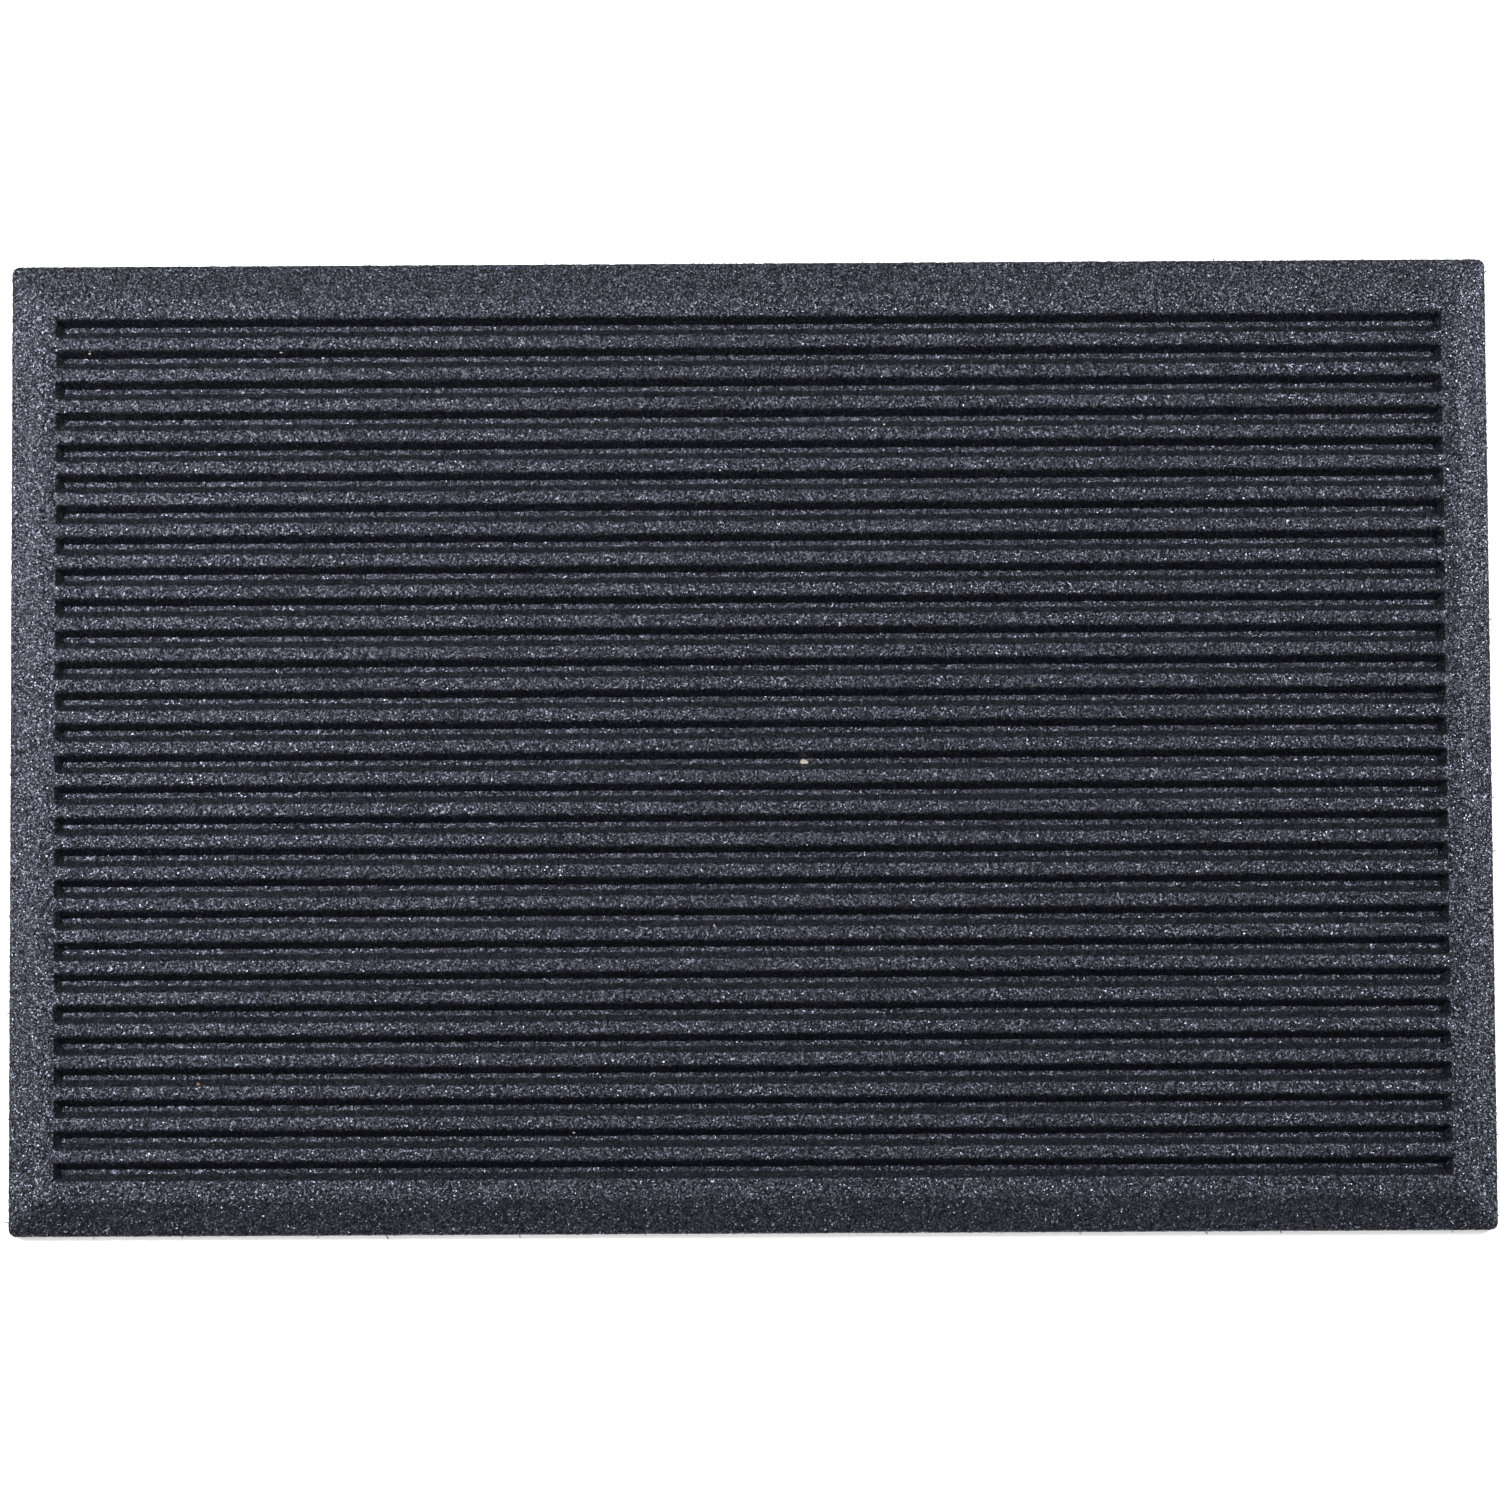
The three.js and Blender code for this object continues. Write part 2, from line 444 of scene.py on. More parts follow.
class MouldedTree(GeometryTree):
    """A closed section run along a line. A grid is wrapped round the section, its first and
    last columns are drawn in to close the ends, its edges are rounded, and crumbs are raised
    on the faces that show."""

    def __init__(self, name, faces, values):
        super().__init__(name, values)
        self.faces = faces
        self.rows = [self.input(f"{face.name} rows") for face in faces]

    def wrapped(self):
        """The grid, with each point's column and row."""
        columns = self.input("Columns")
        rows = sum(self.rows[1:], self.rows[0])
        grid = self.node("GeometryNodeMeshGrid", {
            "Size X": columns, "Size Y": rows, "Vertices X": columns + 1.0, "Vertices Y": rows + 1.0,
        })
        x, y, _ = self.parts(self.place())
        mesh, (self.column, self.row) = self.kept(
            grid.outputs[0], column=x + columns / 2.0, row=y + rows / 2.0
        )
        self.columns = columns
        self.all_rows = rows
        self.at_end = self.math(
            "MAXIMUM", self.column < 0.5, self.column > columns - 0.5
        )
        return mesh

    def section(self):
        """Where each row is, across the section and up it."""
        across = self.input("Start across")
        up = self.input("Start up")
        first = 0.0
        for face, rows in zip(self.faces, self.rows):
            last = first + rows
            across = across + self.row.ramp(first, last, 0.0, self.input(f"{face.name} across"))
            up = up + self.row.ramp(first, last, 0.0, self.input(f"{face.name} up"))
            first = last
        middle_across = self.input("Middle across")
        middle_up = self.input("Middle up")
        across = across + (middle_across - across) * self.at_end
        up = up + (middle_up - up) * self.at_end
        return across, up

    def along(self):
        """From -1 to 1 along the line. The two end columns share their neighbours' place."""
        return self.column.ramp(1.0, self.columns - 1.0, -1.0, 1.0)

    def shown(self, hidden_faces):
        """1 on the rows that show, and 0 on the hidden faces and the ends."""
        rows = sum(self.rows[1:len(self.rows) - hidden_faces], self.rows[0])
        inside = (self.row > 0.5) * (self.row < rows - 0.5)
        clear_of_ends = (self.column > 1.5) * (self.column < self.columns - 1.5)
        return inside * clear_of_ends

    def merged(self, mesh):
        return self.node("GeometryNodeMergeByDistance", {0: mesh, "Distance": MERGE}).outputs[0]

    def rounded(self, mesh, shown):
        """Smooths the section's corners and leaves its flat faces as they are."""
        blur = self.node(
            "GeometryNodeBlurAttribute",
            {0: self.place(), "Iterations": self.input("Smoothing"), "Weight": shown},
            data_type="FLOAT_VECTOR",
        )
        return self.move(mesh, blur.outputs[0])

    def crumbled(self, mesh, shown, step):
        """Raises the crumbs, and keeps every point on or above the floor."""
        place = self.vectors("ADD", self.place(), self.seed_shift())
        distance, _, (height, *_) = self.crumbs(place, self.input("Crumb"))
        crumb = (CRUMB_RIM - distance) * CRUMB_DOME + (height - 0.5) * CRUMB_STEP
        wave = (self.cloud(place, WAVE_SIZE) - 0.5) * 2.0
        rise = (crumb * self.input("Relief") + wave * self.input("Waviness")) * shown
        normal = self.node("GeometryNodeInputNormal").outputs[0]
        white = self.node("ShaderNodeTexWhiteNoise", {0: place}).outputs["Color"]
        jitter = self.vectors("SUBTRACT", white, (0.5, 0.5, 0.5))
        offset = self.vectors(
            "ADD", self.scaled(normal, rise), self.scaled(jitter, shown * (JITTER * step))
        )
        raised = self.shift(mesh, offset)
        x, y, z = self.parts(self.place())
        return self.move(raised, self.vector(x, y, z.at_least(0.0)))

    def seed_shift(self):
        seed = self.input("Seed")
        return self.vector(seed, seed * 0.7, seed * 1.3)

    def bake_map(self, mesh, copy=0.0, copies=1.0, folds=1):
        """Lays the grid out as strips that fill a square: each copy is cut in folds lengths,
        and all lengths are stacked."""
        u = self.column / self.columns
        v = self.row / self.all_rows
        face_u = self.node(
            "GeometryNodeFieldOnDomain", {0: u}, domain="FACE", data_type="FLOAT"
        ).outputs[0]
        fold = self.math("FLOOR", self.math("MULTIPLY", face_u, folds * 0.9999))
        strips = copies * float(folds)
        v_clear = v * STRIP_SHARE + (1 - STRIP_SHARE) / 2
        place = self.vector(
            u * float(folds) - fold, (copy * float(folds) + fold + v_clear) / strips, 0.0
        )
        store = self.node(
            "GeometryNodeStoreNamedAttribute", {0: mesh, "Name": BAKE_MAP, "Value": place},
            data_type="FLOAT2", domain="CORNER",
        )
        return store.outputs[0]


# ---- ribs -------------------------------------------------------------------


RIB_TUCK = 0.6 * MM      # how far a rib's foot is sunk in the sheet
END_TUCK = 1.0 * MM      # how far a rib's ends run into the side borders
END_DROP = 0.35 * MM     # how far they dive there
END_FILLET = 0.9 * MM    # round inner corners of the grooves, seen from above


def rib_faces(sizes, step):
    depth = sizes.top - sizes.sheet
    lean = sizes.wall_run * (1 + RIB_TUCK / depth)
    crown = sizes.rib_foot - 2 * sizes.wall_run
    rise = depth + RIB_TUCK
    return [
        faced("Front wall", lean, rise, step),
        faced("Crown", crown, 0.0, step),
        faced("Rear wall", lean, -rise, step),
        Face("Underside", -crown - 2 * lean, 0.0, 1),
    ]


def rib_values(context, first_rib):
    sizes = context.scene.mat_sizes
    grain = context.scene.grain_settings
    faces = rib_faces(sizes, grain.step)
    half = sizes.mouth / 2 + END_TUCK
    return {
        "Material": bpy.data.materials[RUBBER],
        "Columns": round(2 * half / grain.step_along) + 2,
        "Half length": half,
        "End drop": END_DROP,
        "End fillet": END_FILLET,
        "Start across": faces[3].across / 2,
        "Start up": sizes.sheet - RIB_TUCK,
        "Middle across": 0.0,
        "Middle up": sizes.sheet,
        "Ribs": RIBS_PER_PIECE,
        "Pitch": sizes.pitch,
        "First rib": middle_of(rib_node(first_rib), 1),
        **section_values(faces),
        **grain_values(context, first_rib),
    }


def rib_tree(values, faces, step):
    """Some ribs side by side."""
    tree = MouldedTree("crumb_ribs", faces, values)
    mesh = tree.wrapped()
    across, up = tree.section()
    half = tree.input("Half length")
    x = tree.along() * half
    drop = abs(x).ramp(half - END_TUCK, half, 0.0, tree.input("End drop"))
    fillet = tree.input("End fillet")
    reach = (abs(x) - (half - END_TUCK - fillet)).ramp(0.0, fillet, 0.0, fillet)
    widen = fillet - tree.math("SQRT", fillet * fillet - reach * reach)
    across = across + tree.math("SIGN", across) * widen
    shown = tree.shown(hidden_faces=1)
    mesh, (shown,) = tree.kept(tree.move(mesh, tree.vector(x, across, up - drop)), shown=shown)
    mesh = tree.rounded(tree.merged(mesh), shown)
    ribs = tree.node("GeometryNodeMeshLine", {
        "Count": tree.input("Ribs"),
        "Start Location": tree.vector(0.0, tree.input("First rib"), 0.0),
        "Offset": tree.vector(0.0, tree.input("Pitch"), 0.0),
    }).outputs[0]
    number = Field(tree, tree.node("GeometryNodeInputIndex").outputs[0])
    ribs, (copy,) = tree.kept(ribs, copy=number)
    row = tree.node("GeometryNodeInstanceOnPoints", {0: ribs, "Instance": mesh}).outputs[0]
    real = tree.node("GeometryNodeRealizeInstances", {0: row}).outputs[0]
    mapped = tree.bake_map(real, copy, tree.input("Ribs") * 1.0, folds=3)
    tree.finish(tree.crumbled(mapped, shown, step))
    return tree


class MAT_OT_ribs(bpy.types.Operator):
    """Grow the scraping ribs, a few to a piece"""

    bl_idname = "door_mat.ribs"
    bl_label = "Ribs"

    def execute(self, context):
        step = context.scene.grain_settings.step
        tree = rib_tree(rib_values(context, 1), rib_faces(context.scene.mat_sizes, step), step)
        for first in range(1, RIB_COUNT + 1, RIBS_PER_PIECE):
            last = min(first + RIBS_PER_PIECE, RIB_COUNT + 1) - 1
            values = rib_values(context, first)
            values["Ribs"] = last - first + 1
            piece = tree.grow(f"crumb_ribs_{first:02d}_{last:02d}", values)
            own(piece, *[rib_node(n) for n in range(first, last + 1)])
        return {"FINISHED"}


# ---- borders ----------------------------------------------------------------


MITRE_LAP = 0.9 * MM     # how far a border runs past its mitre, under its neighbour
MITRE_DROP = 0.75 * MM   # how far it dives there
LAP_TURN = 1.3           # brings that lap inside the round corner of the outline
BORDER_UNDERSIDE_ROWS = 6


def border_faces(sizes, width, step):
    depth = sizes.top - sizes.sheet
    lean = sizes.wall_run * (1 + RIB_TUCK / depth)
    inner = sizes.sheet - RIB_TUCK
    return [
        faced("Outer edge", 0.0, sizes.edge, step),
        faced("Bevel", width * sizes.bevel_share, sizes.top - sizes.edge, step),
        faced("Land", width * (1 - sizes.bevel_share), 0.0, step),
        faced("Wall", lean, -depth - RIB_TUCK, step),
        Face("Foot", 0.0, -inner, 1),
        Face("Underside", -width - lean, 0.0, BORDER_UNDERSIDE_ROWS),
    ]


def border_values(context, side, turned):
    """side is -1 for front and left, +1 for rear and right. turned is 1 for left and right."""
    sizes = context.scene.mat_sizes
    grain = context.scene.grain_settings
    half_x = sizes.length / 2
    half_y = sizes.depth / 2
    width, other = sizes.long_border, sizes.side_border
    edge, half = half_y, half_x
    if turned:
        width, other = other, width
        edge, half = half, edge
    faces = border_faces(sizes, width, grain.step)
    return {
        "Material": bpy.data.materials[RUBBER],
        "Columns": round(2 * half / grain.step_along) + 2,
        "Half length": half,
        "Mitre": other / width,
        "Mitre lap": MITRE_LAP,
        "Mitre drop": MITRE_DROP,
        "Edge": side * edge,
        "Inward": -float(side),
        "Turned": float(turned),
        "Corner radius": sizes.corner_radius,
        "Half mat length": half_x,
        "Half mat depth": half_y,
        "Start across": 0.0,
        "Start up": 0.0,
        "Middle across": width / 2,
        "Middle up": sizes.sheet / 2,
        **section_values(faces),
        **grain_values(context, BORDER_SEED + side + 4 * turned),
    }


def cornered(tree, x, y):
    """Bends the two sides of each square corner into its round one."""
    radius = tree.input("Corner radius")
    past_x = (abs(x) - (tree.input("Half mat length") - radius)).at_least(0.0)
    past_y = (abs(y) - (tree.input("Half mat depth") - radius)).at_least(0.0)
    reach = tree.math("SQRT", past_x * past_x + past_y * past_y)
    level = tree.math("MAXIMUM", past_x, past_y)
    level = level - (level - radius).at_least(0.0) * LAP_TURN
    shrink = 1.0 - level / reach.at_least(MERGE)
    in_corner = (past_x > 0.0) * (past_y > 0.0)
    x = x - tree.math("SIGN", x) * past_x * shrink * in_corner
    y = y - tree.math("SIGN", y) * past_y * shrink * in_corner
    return x, y


def border_tree(values, faces, step):
    """One mitred border, from its upright outer edge to the wall of the nearest groove."""
    tree = MouldedTree("crumb_border", faces, values)
    mesh = tree.wrapped()
    across, up = tree.section()
    half = tree.input("Half length") - across * tree.input("Mitre")
    along = tree.along() * (half + tree.input("Mitre lap"))
    drop = (abs(along) - half).ramp(0.0, tree.input("Mitre lap"), 0.0, tree.input("Mitre drop"))
    across = tree.input("Edge") + tree.input("Inward") * across
    turned = tree.input("Turned")
    x, y = cornered(tree, along + (across - along) * turned, across + (along - across) * turned)
    shown = tree.shown(hidden_faces=2)
    place = tree.vector(x, y, (up - drop).at_least(0.0))
    mesh, (shown,) = tree.kept(tree.move(mesh, place), shown=shown)
    mesh = tree.rounded(tree.merged(mesh), shown)
    inside_out = (tree.input("Inward") * (turned * 2.0 - 1.0)) > 0.0
    mesh = tree.node("GeometryNodeFlipFaces", {0: mesh, "Selection": inside_out}).outputs[0]
    mapped = tree.bake_map(mesh, folds=4)
    tree.finish(tree.crumbled(mapped, shown, step))
    return tree


class MAT_OT_borders(bpy.types.Operator):
    """Grow the four mitred borders"""

    bl_idname = "door_mat.borders"
    bl_label = "Borders"

    def execute(self, context):
        sizes = context.scene.mat_sizes
        step = context.scene.grain_settings.step
        faces = border_faces(sizes, sizes.long_border, step)
        tree = border_tree(border_values(context, -1, 0), faces, step)
        for name, side, turned in (
            ("front", -1, 0), ("rear", 1, 0), ("left", -1, 1), ("right", 1, 1)
        ):
            piece = tree.grow(f"crumb_border_{name}", border_values(context, side, turned))
            own(piece, f"border_{name}")
        return {"FINISHED"}


# ---- the sheet under the grooves --------------------------------------------


FLOOR_ROWS = 4           # mesh rows across a groove floor, and one more under each rib
FLOOR_TUCK = 0.45 * MM   # how far a floor's rows run under the ribs beside it
SHEET_UNDERSIDE_ROWS = 20


def sheet_values(context):
    sizes = context.scene.mat_sizes
    grain = context.scene.grain_settings
    grooves = RIB_COUNT + 1
    floor = sizes.pitch - sizes.rib_foot + 2 * FLOOR_TUCK
    span = (grooves - 1) * sizes.pitch + floor
    length_x = side_of("backing_sheet", 0)
    faces = [
        Face("Top", span, 0.0, grooves * (FLOOR_ROWS + 1) - 1),
        Face("Rear face", 0.0, -sizes.sheet, 1),
        Face("Underside", -span, 0.0, SHEET_UNDERSIDE_ROWS),
        Face("Front face", 0.0, sizes.sheet, 1),
    ]
    values = {
        "Material": bpy.data.materials[RUBBER],
        "Columns": round(length_x / grain.floor_step) + 2,
        "Half length": length_x / 2,
        "Pitch": sizes.pitch,
        "Floor": floor,
        "Start across": -span / 2,
        "Start up": sizes.sheet,
        "Middle across": 0.0,
        "Middle up": sizes.sheet / 2,
        **section_values(faces),
        **grain_values(context, SHEET_SEED),
    }
    return values, faces


def sheet_tree(values, faces, step):
    """The sheet. Its top has close rows on each groove floor and one wide row under each rib."""
    tree = MouldedTree("crumb_sheet", faces, values)
    mesh = tree.wrapped()
    across, up = tree.section()
    rows_per_groove = FLOOR_ROWS + 1
    on_top = (tree.row < tree.rows[0] + 0.5) * (1.0 - tree.at_end)
    groove = tree.math("FLOOR", (tree.row + 0.01) / float(rows_per_groove))
    within = tree.row - groove * float(rows_per_groove)
    stepped = (
        tree.input("Start across")
        + groove * tree.input("Pitch")
        + within * (tree.input("Floor") / float(FLOOR_ROWS))
    )
    across = across + (stepped - across) * on_top
    x = tree.along() * tree.input("Half length")
    shown = tree.shown(hidden_faces=3)
    mesh, (shown,) = tree.kept(tree.move(mesh, tree.vector(x, across, up)), shown=shown)
    mapped = tree.bake_map(tree.merged(mesh))
    tree.finish(tree.crumbled(mapped, shown, step))
    return tree


class MAT_OT_sheet(bpy.types.Operator):
    """Grow the sheet that carries the ribs"""

    bl_idname = "door_mat.sheet"
    bl_label = "Sheet"

    def execute(self, context):
        values, faces = sheet_values(context)
        tree = sheet_tree(values, faces, context.scene.grain_settings.step)
        own(tree.grow("crumb_sheet", values), "backing_sheet")
        return {"FINISHED"}


# ---- stray crumbs and edge burrs --------------------------------------------


# Where a stray crumb lies and its two widths, in millimetres, and its colour.
STRAY_CRUMBS = (
    (22.0, -7.1, 2.2, 3.8, "beige"),
    (-190.0, 161.0, 1.2, 0.9, "beige"),
    (-206.0, 145.0, 1.0, 0.8, "beige"),
    (55.0, 130.0, 1.2, 0.8, "beige"),
    (-147.0, 6.0, 1.3, 0.9, "beige"),
    (-15.0, -73.0, 1.1, 0.8, "beige"),
    (-72.0, -156.0, 1.2, 0.8, "beige"),
    (-268.0, 161.0, 1.2, 1.0, "beige"),
    (-223.0, -136.0, 2.0, 1.2, "brown"),
)
STRAY_HEIGHT = 0.5 * MM
STRAY_LIFT = 0.1 * MM    # from the surface to the middle of the chip
STRAY_CHIPPING = 0.09    # how far its corners stray, with its width as 1


def surface_height(sizes, y):
    """Height of the mat's top at some distance from its middle, away from the borders."""
    from_rib = abs(y - round(y / sizes.pitch) * sizes.pitch)
    half_crown = sizes.rib_foot / 2 - sizes.wall_run
    share_down = min(1.0, max(0.0, (from_rib - half_crown) / sizes.wall_run))
    return sizes.top - share_down * (sizes.top - sizes.sheet)


def stray_crumb(mesh, source, place, long, wide):
    """One angular chip, pressed into the surface."""
    turn = Matrix.Rotation(source.uniform(0.0, math.pi), 4, "Z")
    size = Matrix.Diagonal((long, wide, STRAY_HEIGHT, 1.0))
    matrix = Matrix.Translation(place) @ turn @ size
    made = bmesh.ops.create_icosphere(mesh, subdivisions=2, radius=0.5, matrix=matrix)
    for vert in made["verts"]:
        vert.co += Vector(
            source.uniform(-STRAY_CHIPPING, STRAY_CHIPPING) * wide for _ in range(3)
        )


class MAT_OT_strays(bpy.types.Operator):
    """Press the stray pale and brown crumbs into the rubber"""

    bl_idname = "door_mat.strays"
    bl_label = "Stray crumbs"

    def execute(self, context):
        sizes = context.scene.mat_sizes
        source = random.Random(STRAY_SEED)
        for tone in ("beige", "brown"):
            mesh = bmesh.new()
            for x, y, long, wide, own_tone in STRAY_CRUMBS:
                if own_tone == tone:
                    height = surface_height(sizes, y * MM) + STRAY_LIFT
                    stray_crumb(mesh, source, (x * MM, y * MM, height), long * MM, wide * MM)
            name = f"stray_crumbs_{tone}"
            data = bpy.data.meshes.new(name)
            mesh.to_mesh(data)
            mesh.free()
            data.materials.append(bpy.data.materials[f"{tone}_crumb"])
            piece = bpy.data.objects.new(name, data)
            context.scene.collection.objects.link(piece)
            own(piece)
        return {"FINISHED"}


BURR_HEIGHT = 0.6        # of its root above the floor, with the sheet's thickness as 1
BURR_THICKNESS = 0.16    # half a burr's thickness, with its length as 1
BURR_CLEAR = 5.0         # kept free at the mat's corners, with the burr's length as 1
BURR_RISE = 0.3          # the steepest slope of a burr, up or down


def burr_values(context):
    sizes = context.scene.mat_sizes
    grain = context.scene.grain_settings
    return {
        "Material": bpy.data.materials[RUBBER],
        "Burrs": grain.burrs,
        "Half mat length": sizes.length / 2,
        "Half mat depth": sizes.depth / 2,
        "Height": sizes.sheet * BURR_HEIGHT,
        "Burr length": grain.burr_length,
        "Burr thickness": grain.burr_length * BURR_THICKNESS,
        "Seed": float(BURR_SEED),
    }


def burr_tree(values):
    """Thin curved burrs that stand out from the mat's outer edge, at random places."""
    tree = GeometryTree("edge_burrs", values)
    half_x, half_y = tree.input("Half mat length"), tree.input("Half mat depth")
    outline = tree.node(
        "GeometryNodeCurvePrimitiveQuadrilateral", {"Width": half_x * 2.0, "Height": half_y * 2.0}
    )
    spots = tree.node(
        "GeometryNodeCurveToPoints", {0: outline.outputs[0], "Count": tree.input("Burrs")}
    )
    x, y, _ = tree.parts(tree.place())
    on_side = abs(x) > half_x - MERGE
    out = tree.vector(
        tree.math("SIGN", x) * on_side, tree.math("SIGN", y) * (1.0 - on_side), 0.0
    )
    seed = tree.input("Seed")
    slide, lean, rise, size = (
        Field(tree, tree.node(
            "FunctionNodeRandomValue", {"Min": -1.0, "Max": 1.0, "Seed": seed + float(step)},
            data_type="FLOAT",
        ).outputs["Value"])
        for step in range(4)
    )
    slide = slide * (half_x + half_y) * 2.0 / tree.input("Burrs")
    clear = tree.input("Burr length") * BURR_CLEAR
    new_x = (x + slide * (1.0 - on_side)).within(half_x - clear * (1.0 - on_side))
    new_y = (y + slide * on_side).within(half_y - clear * on_side)
    moved = tree.move(spots.outputs["Points"], tree.vector(new_x, new_y, tree.input("Height")))
    aim = tree.vectors("ADD", out, tree.vector(
        lean * (1.0 - on_side), lean * on_side, rise * BURR_RISE
    ))
    turn = tree.node("FunctionNodeAlignRotationToVector", {"Vector": aim}, axis="X").outputs[0]
    long = tree.input("Burr length")
    bend = tree.node("GeometryNodeCurveQuadraticBezier", {
        "Resolution": 5, "Start": tree.vector(long * -0.5, 0.0, 0.0),
        "Middle": tree.vector(long * 0.6, 0.0, 0.0), "End": tree.vector(long, long * 0.5, 0.0),
    })
    ring = tree.node(
        "GeometryNodeCurvePrimitiveCircle", {"Resolution": 6, "Radius": tree.input("Burr thickness")}
    )
    burr = tree.node("GeometryNodeCurveToMesh", {
        "Curve": bend.outputs[0], "Profile Curve": ring.outputs[0], "Fill Caps": True,
    })
    grown = tree.node("GeometryNodeInstanceOnPoints", {
        0: moved, "Instance": burr.outputs[0], "Rotation": turn,
        "Scale": tree.vector(1.0 + size * 0.5, 1.0 + size * 0.3, 1.0),
    })
    tree.finish(grown.outputs[0])
    return tree


class MAT_OT_burrs(bpy.types.Operator):
    """Grow the small burrs round the outer edge"""

    bl_idname = "door_mat.burrs"
    bl_label = "Edge burrs"

    def execute(self, context):
        values = burr_values(context)
        own(burr_tree(values).grow("edge_burrs", values))
        return {"FINISHED"}


# ---- materials --------------------------------------------------------------


def new_material(name):
    material = bpy.data.materials.new(name)
    material.use_nodes = True
    wiring = Wiring(material.node_tree)
    shader = material.node_tree.nodes["Principled BSDF"]
    place = wiring.node("ShaderNodeTexCoord").outputs["Object"]
    return wiring, shader, place


def ramp_colours(wiring, field, stops):
    """A colour ramp with these (position, colour) stops."""
    ramp = wiring.node("ShaderNodeValToRGB", {0: field})
    elements = ramp.color_ramp.elements
    while len(elements) < len(stops):
        elements.new(0.5)
    for element, (position, rgb) in zip(elements, stops):
        element.position = position
        element.color = (*rgb, 1.0)
    return ramp.outputs["Color"]


FINE_SHARE = 0.6         # size of the fine facets against the coarse ones
FACET_LEAN = 2.0         # how much of the bump is each facet's own tilt
FACET_DOME = 0.3         # and how much is its own dome
GLOSS_SPREAD = 0.2       # how much rougher the dullest facets are than the glossiest
COARSE_SHINE = 1.05      # of the shiniest coarse facet
FINE_SHINE = 0.42        # what the shiniest fine facet adds
LEAST_SHINE = 0.03
ODD_SHINE = 0.14         # what an odd crumb adds
ODD_MIDDLE = 0.42        # the sheen round which the odd crumbs lie
PATCH_SIZE = 30 * MM     # distance between the slow changes of grey


def crumb_rubber(context):
    """Bonded rubber crumb: every crumb is a glossy facet with its own tilt and its own grey.
    A few crumbs shine much more than the rest, and the odd ones lie across the surface."""
    grain = context.scene.grain_settings
    tones = context.scene.rubber_colours
    wiring, shader, place = new_material(RUBBER)
    coarse, fine = grain.facet, grain.facet * FINE_SHARE
    distance, facet, (tone, gloss, sheen) = wiring.crumbs(place, coarse)
    fine_distance, fine_facet, (fine_tone, _, fine_sheen) = wiring.crumbs(place, fine)
    patch = wiring.cloud(place, PATCH_SIZE)
    blend = tone * 0.5 + fine_tone * 0.3 + patch * 0.2
    rubber = ramp_colours(wiring, blend, [
        (0.1, tones.dark), (0.45, tones.mid), (0.75, tones.mid), (0.95, tones.light),
    ])
    wiring.feed(shader.inputs["Base Color"], rubber)
    roughness = gloss.ramp(0.0, 1.0, grain.gloss, grain.gloss + GLOSS_SPREAD)
    wiring.feed(shader.inputs["Roughness"], roughness)
    odd = abs(sheen - ODD_MIDDLE) < grain.odd / 2
    coarse_shine = sheen * sheen * sheen * sheen * COARSE_SHINE
    fine_shine = fine_sheen * fine_sheen * fine_sheen * FINE_SHINE
    shine = coarse_shine + fine_shine + LEAST_SHINE + odd * ODD_SHINE
    wiring.feed(shader.inputs["Specular Tint"], wiring.scaled(tuple(tones.sheen), shine))
    shader.inputs["Specular IOR Level"].default_value = 1.0
    shader.inputs["IOR"].default_value = 1.8
    facet = facet * (1.0 + odd * grain.odd_tilt)
    height = (facet * FACET_LEAN - distance * FACET_DOME) * coarse
    fine_height = (fine_facet * FACET_LEAN - fine_distance * FACET_DOME) * fine
    bump = wiring.node("ShaderNodeBump", {
        "Height": height + fine_height, "Strength": 1.0, "Distance": grain.facet_tilt,
    })
    wiring.feed(shader.inputs["Normal"], bump.outputs[0])


def stray_rubber(name, rgb):
    """A stray crumb's own rubber, dull and a little uneven."""
    wiring, shader, place = new_material(name)
    shade = wiring.cloud(place, 0.5 * MM).ramp(0.25, 0.75, 0.55, 1.0)
    wiring.feed(shader.inputs["Base Color"], wiring.scaled(tuple(rgb), shade))
    shader.inputs["Roughness"].default_value = 0.7


class MAT_OT_rubber(bpy.types.Operator):
    """Mix the rubbers"""

    bl_idname = "door_mat.rubber"
    bl_label = "Rubber"

    def execute(self, context):
        tones = context.scene.rubber_colours
        crumb_rubber(context)
        stray_rubber("beige_crumb", tones.beige)
        stray_rubber("brown_crumb", tones.brown)
        return {"FINISHED"}


# ---- stage ------------------------------------------------------------------


FLOOR_REACH = 4.0        # from the floor's middle to each of its sides
ROOM_LIGHT = 0.05        # faint light from all round
CAMERA_AIM = Vector((-0.2 * MM, -1.55 * MM, 0.0))

# Where each softbox stands, how wide it is, and its power in watts.
SOFTBOXES = {
    "left_softbox": ((-1.05, 0.34, 1.16), 0.48, 34.5),
    "right_softbox": ((3.0, 1.8, 3.35), 1.45, 318.0),
}


def studio_floor(rgb, glow):
    """A wide pale floor that also gives off light of its own."""
    wiring, shader, place = new_material("studio_floor")
    shade = wiring.cloud(place, 400 * MM).ramp(0.0, 1.0, 0.98, 1.0)
    mixed = wiring.scaled(tuple(rgb), shade)
    wiring.feed(shader.inputs["Base Color"], mixed)
    shader.inputs["Roughness"].default_value = 0.9
    shader.inputs["Emission Color"].default_value = (1.0, 1.0, 1.0, 1.0)
    shader.inputs["Emission Strength"].default_value = glow
    mesh = bpy.data.meshes.new("studio_floor")
    grid = bmesh.new()
    bmesh.ops.create_grid(grid, x_segments=8, y_segments=8, size=FLOOR_REACH)
    grid.to_mesh(mesh)
    grid.free()
    mesh.materials.append(bpy.data.materials["studio_floor"])
    floor = bpy.data.objects.new("studio_floor", mesh)
    bpy.context.scene.collection.objects.link(floor)


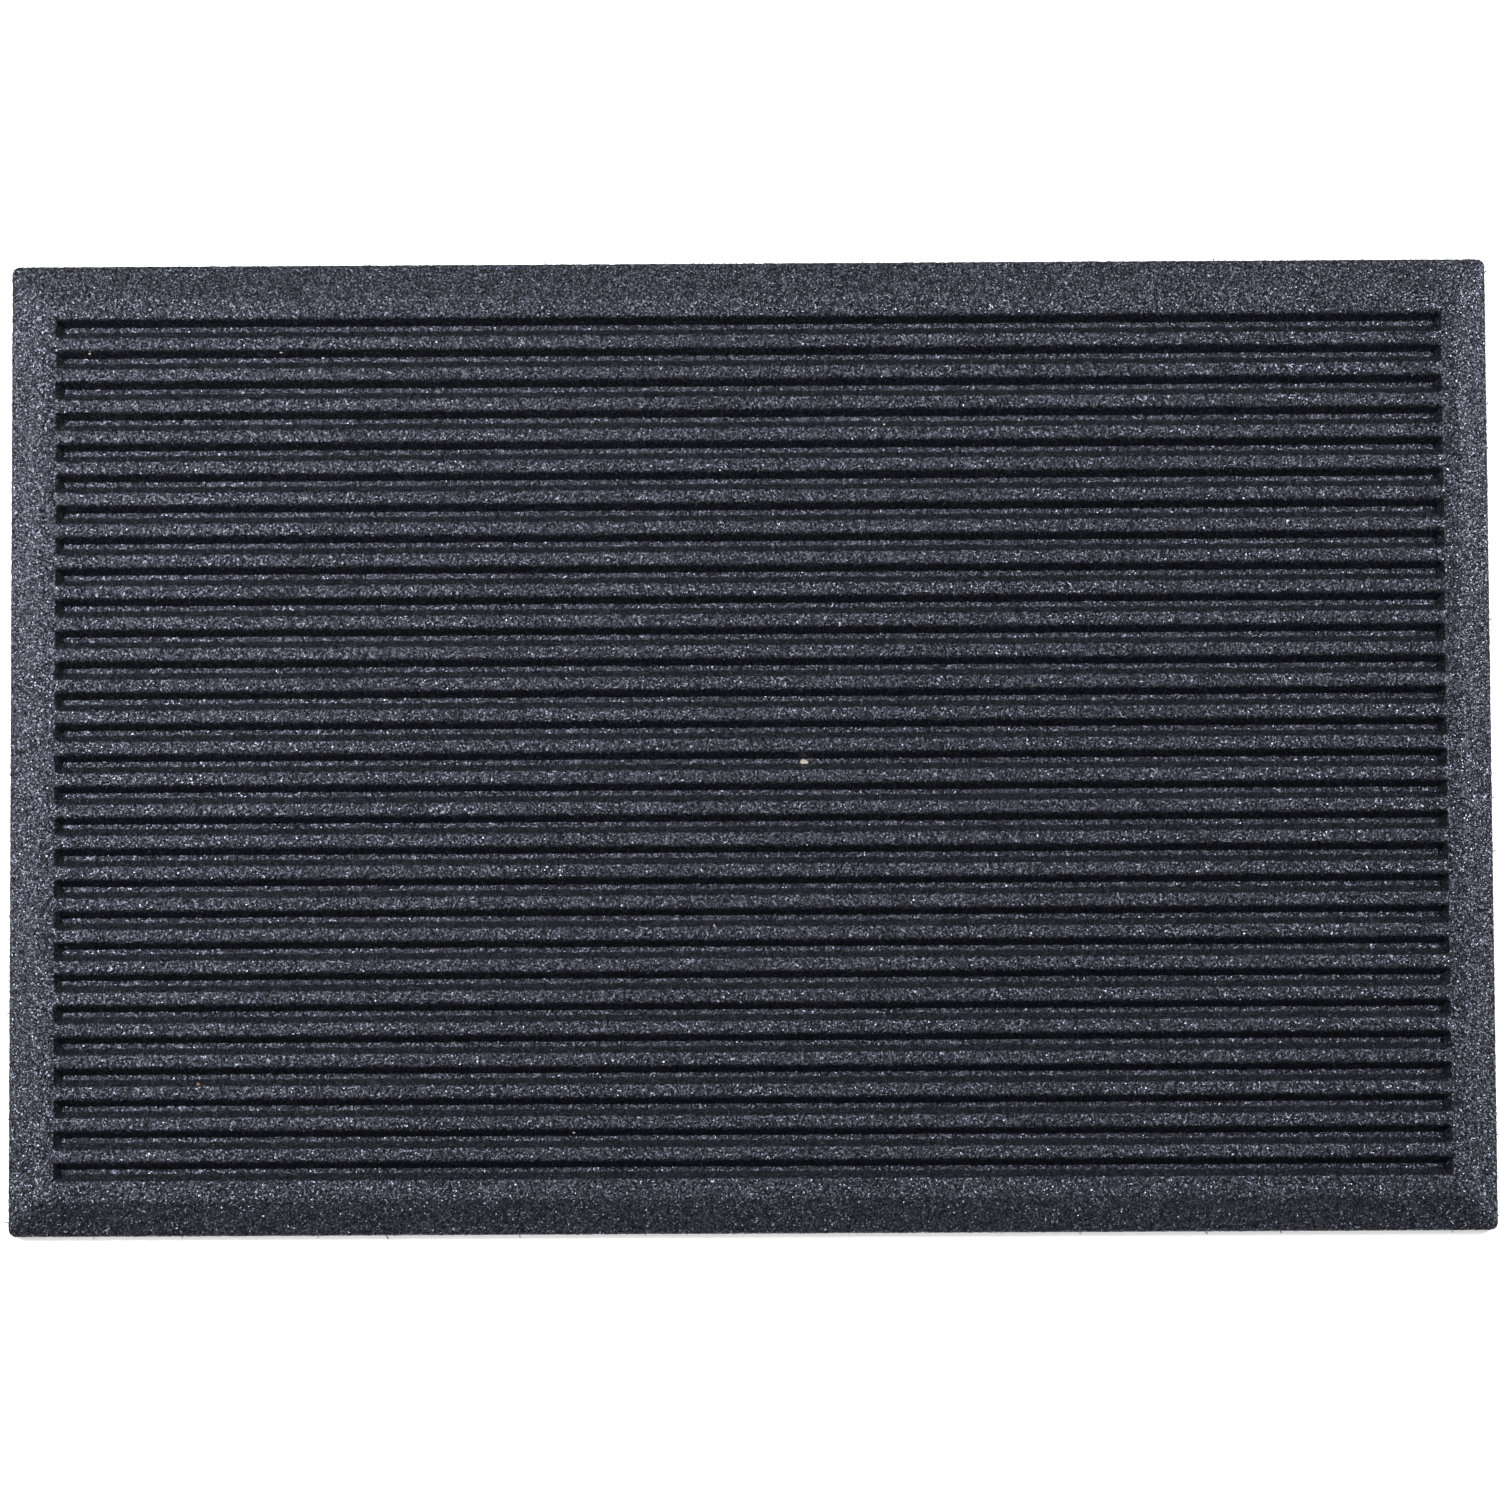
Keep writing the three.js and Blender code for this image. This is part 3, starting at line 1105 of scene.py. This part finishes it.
def softbox(name, place, size, power):
    """A square lamp that faces the mat's middle."""
    lamp = bpy.data.lights.new(name, "AREA")
    lamp.size = size
    lamp.energy = power
    holder = bpy.data.objects.new(name, lamp)
    holder.location = place
    holder.rotation_euler = (-Vector(place)).to_track_quat("-Z", "Y").to_euler()
    holder.visible_camera = False
    bpy.context.scene.collection.objects.link(holder)


def surroundings(strength):
    world = bpy.data.worlds.new("studio")
    world.use_nodes = True
    background = world.node_tree.nodes["Background"]
    background.inputs["Color"].default_value = (1.0, 1.0, 1.0, 1.0)
    background.inputs["Strength"].default_value = strength
    bpy.context.scene.world = world


def overhead_camera(stage):
    turn = (
        Matrix.Rotation(stage.tilt, 4, "X")
        @ Matrix.Rotation(stage.pan, 4, "Y")
        @ Matrix.Rotation(stage.roll, 4, "Z")
    )
    place = CAMERA_AIM + turn @ Vector((0.0, 0.0, stage.distance))
    camera = bpy.data.objects.new("camera", bpy.data.cameras.new("camera"))
    camera.data.lens = stage.lens
    camera.matrix_world = Matrix.Translation(place) @ turn
    bpy.context.scene.collection.objects.link(camera)
    bpy.context.scene.camera = camera


class MAT_OT_stage(bpy.types.Operator):
    """Set the floor, the lights and the camera"""

    bl_idname = "door_mat.stage"
    bl_label = "Stage"

    def execute(self, context):
        stage = context.scene.stage_settings
        studio_floor(stage.floor, stage.floor_glow)
        for name, (place, size, power) in SOFTBOXES.items():
            softbox(name, place, size, power)
        surroundings(ROOM_LIGHT)
        overhead_camera(stage)
        context.scene.view_settings.view_transform = "Standard"
        return {"FINISHED"}


# ---- the add-on -------------------------------------------------------------


OPERATORS = (
    MAT_OT_stage, MAT_OT_rubber, MAT_OT_sheet, MAT_OT_borders, MAT_OT_ribs, MAT_OT_strays,
    MAT_OT_burrs,
)
SETTINGS = {
    "mat_sizes": MatSizes,
    "grain_settings": GrainSettings,
    "rubber_colours": RubberColours,
    "stage_settings": StageSettings,
}


class MAT_PT_panel(bpy.types.Panel):
    """Lists the pieces, in the order in which they are made"""

    bl_idname = "MAT_PT_panel"
    bl_label = "Door Mat"
    bl_space_type = "VIEW_3D"
    bl_region_type = "UI"
    bl_category = "Door Mat"

    def draw(self, context):
        for operator in OPERATORS:
            self.layout.operator(operator.bl_idname)
        for name, group in SETTINGS.items():
            column = self.layout.column(heading=name.replace("_", " "))
            for item in group.__annotations__:
                column.prop(getattr(context.scene, name), item)


def register():
    for group in SETTINGS.values():
        bpy.utils.register_class(group)
    for name, group in SETTINGS.items():
        setattr(bpy.types.Scene, name, PointerProperty(type=group))
    for operator in OPERATORS:
        bpy.utils.register_class(operator)
    bpy.utils.register_class(MAT_PT_panel)


def unregister():
    bpy.utils.unregister_class(MAT_PT_panel)
    for operator in reversed(OPERATORS):
        bpy.utils.unregister_class(operator)
    for name in SETTINGS:
        delattr(bpy.types.Scene, name)
    for group in reversed(SETTINGS.values()):
        bpy.utils.unregister_class(group)


def run_operator(operator):
    """Calls an operator by its own name."""
    group, name = operator.bl_idname.split(".")
    if getattr(getattr(bpy.ops, group), name)() != {"FINISHED"}:
        raise RuntimeError(f"{operator.bl_idname} didn't finish")


def main():
    register()
    for operator in OPERATORS:
        run_operator(operator)


if __name__ == "__main__":
    main()
